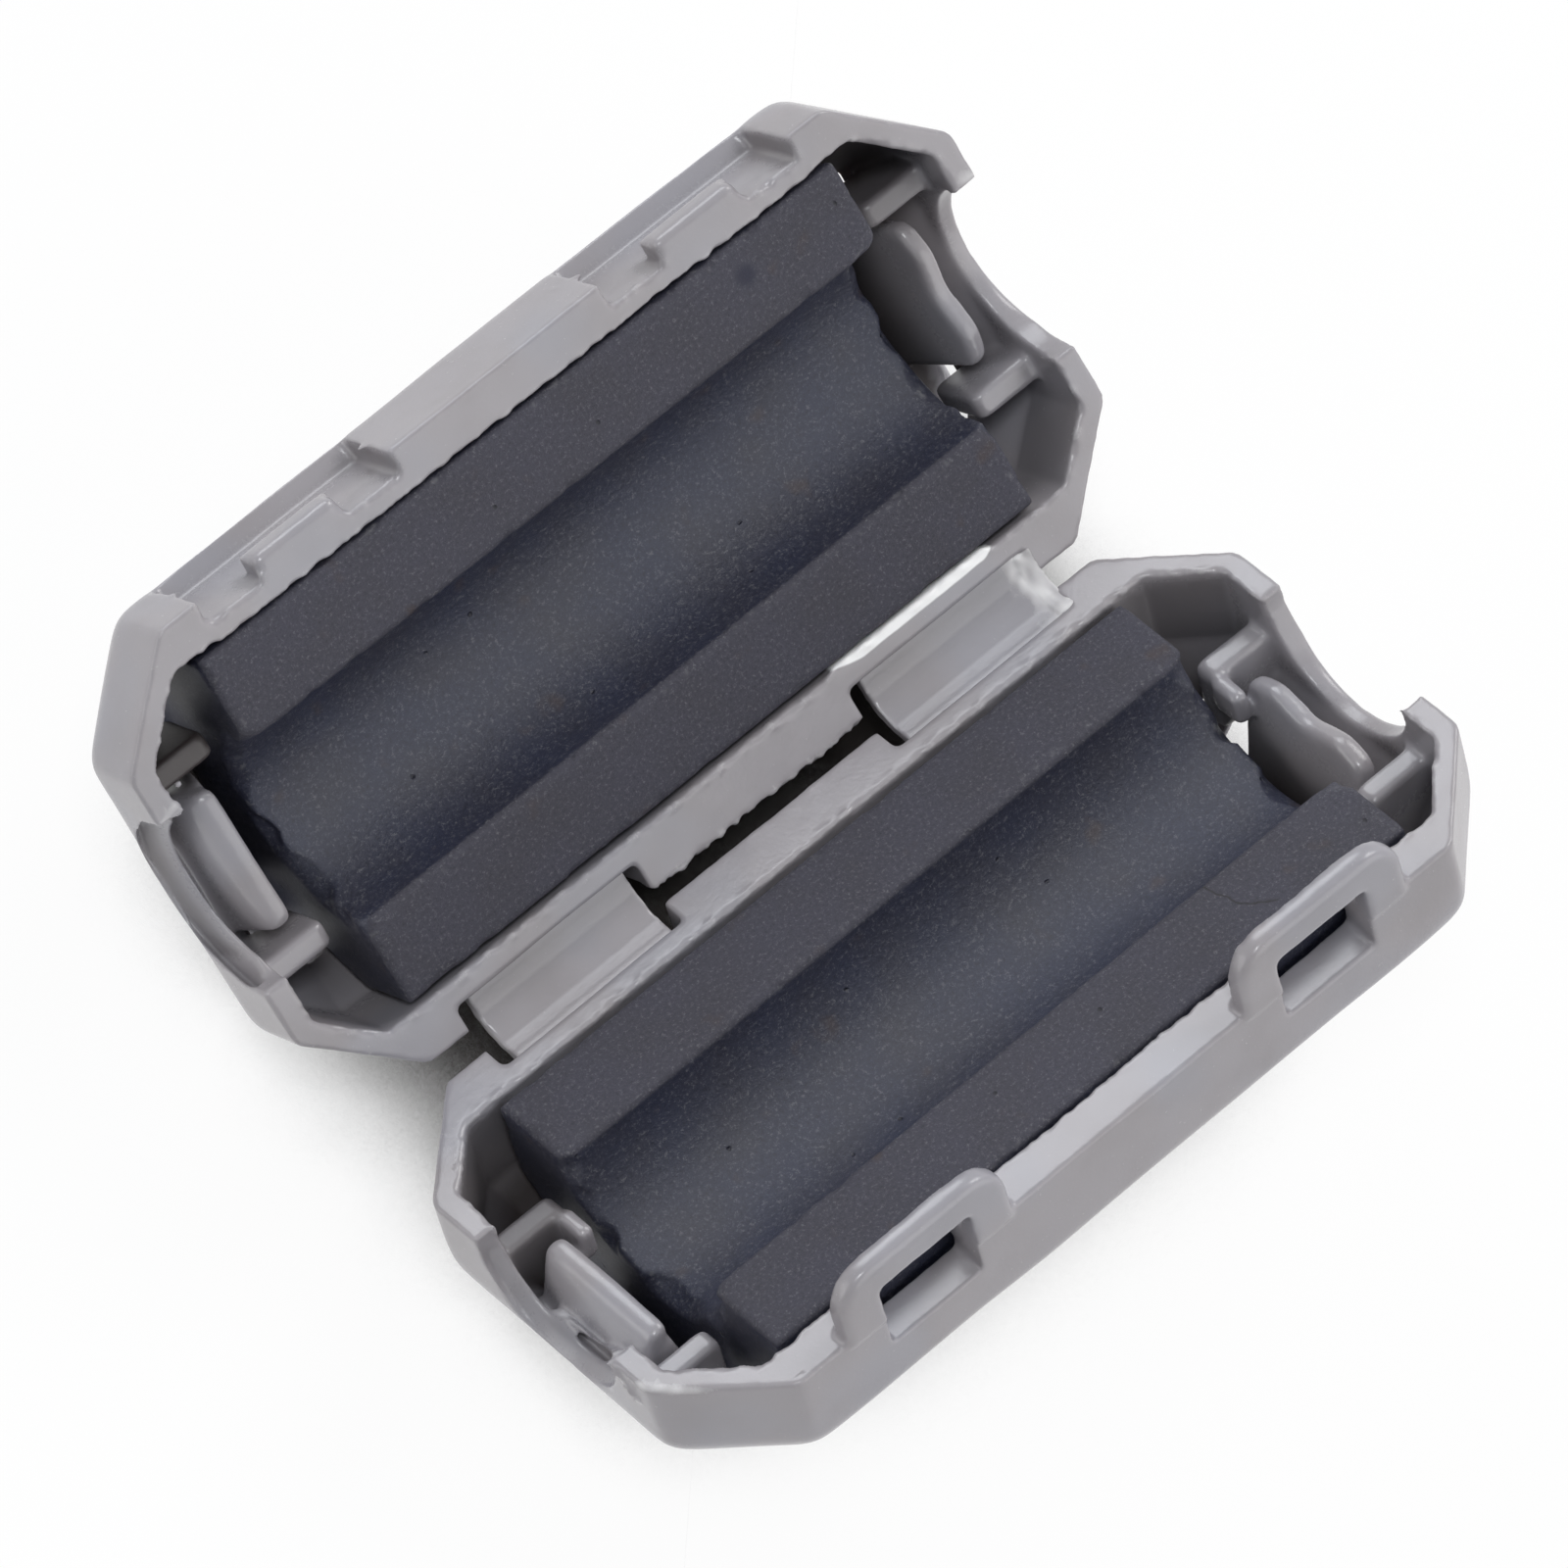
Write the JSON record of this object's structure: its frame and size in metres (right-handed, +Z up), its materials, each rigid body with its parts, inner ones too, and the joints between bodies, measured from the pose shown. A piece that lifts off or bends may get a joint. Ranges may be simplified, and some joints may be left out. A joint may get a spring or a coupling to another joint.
{
  "type": "clip-on ferrite core",
  "caption": "Clip-on ferrite core lying open: two hinged plastic half-shells, each holding a half core with a half-round cable channel, with snap latches on the free side.",
  "frame": {"origin": "middle of the bottom of the part's box, on the surface that the open part lies on", "axes": "+X along the cable and the hinge line, +Y from the half with the loops to the half with the catches, +Z up"},
  "size_m": [0.0254, 0.0252, 0.0121],
  "materials": {
    "shell_plastic": "moulded warm grey plastic, satin",
    "hinge_plastic": "the same plastic, thin and bent",
    "core_ferrite": "sintered ferrite, dark bluish grey, fine grain, ground faces"
  },
  "bodies": {
    "loop_half": {"loop_shell": "shell_plastic", "loop_core": "core_ferrite", "hinge_strap_left": "hinge_plastic", "hinge_strap_right": "hinge_plastic"},
    "catch_half": {"catch_shell": "shell_plastic", "catch_core": "core_ferrite"}
  },
  "joints": [
    {"name": "shell_hinge", "type": "hinge", "parent": "loop_half", "child": "catch_half", "pos_m": [0, 0, 0.00394], "axis": [1, 0, 0], "range_deg": [-60, 120], "stiffness_Nm_per_rad": 0.02, "deforming": ["hinge_strap_left", "hinge_strap_right"]}
  ]
}
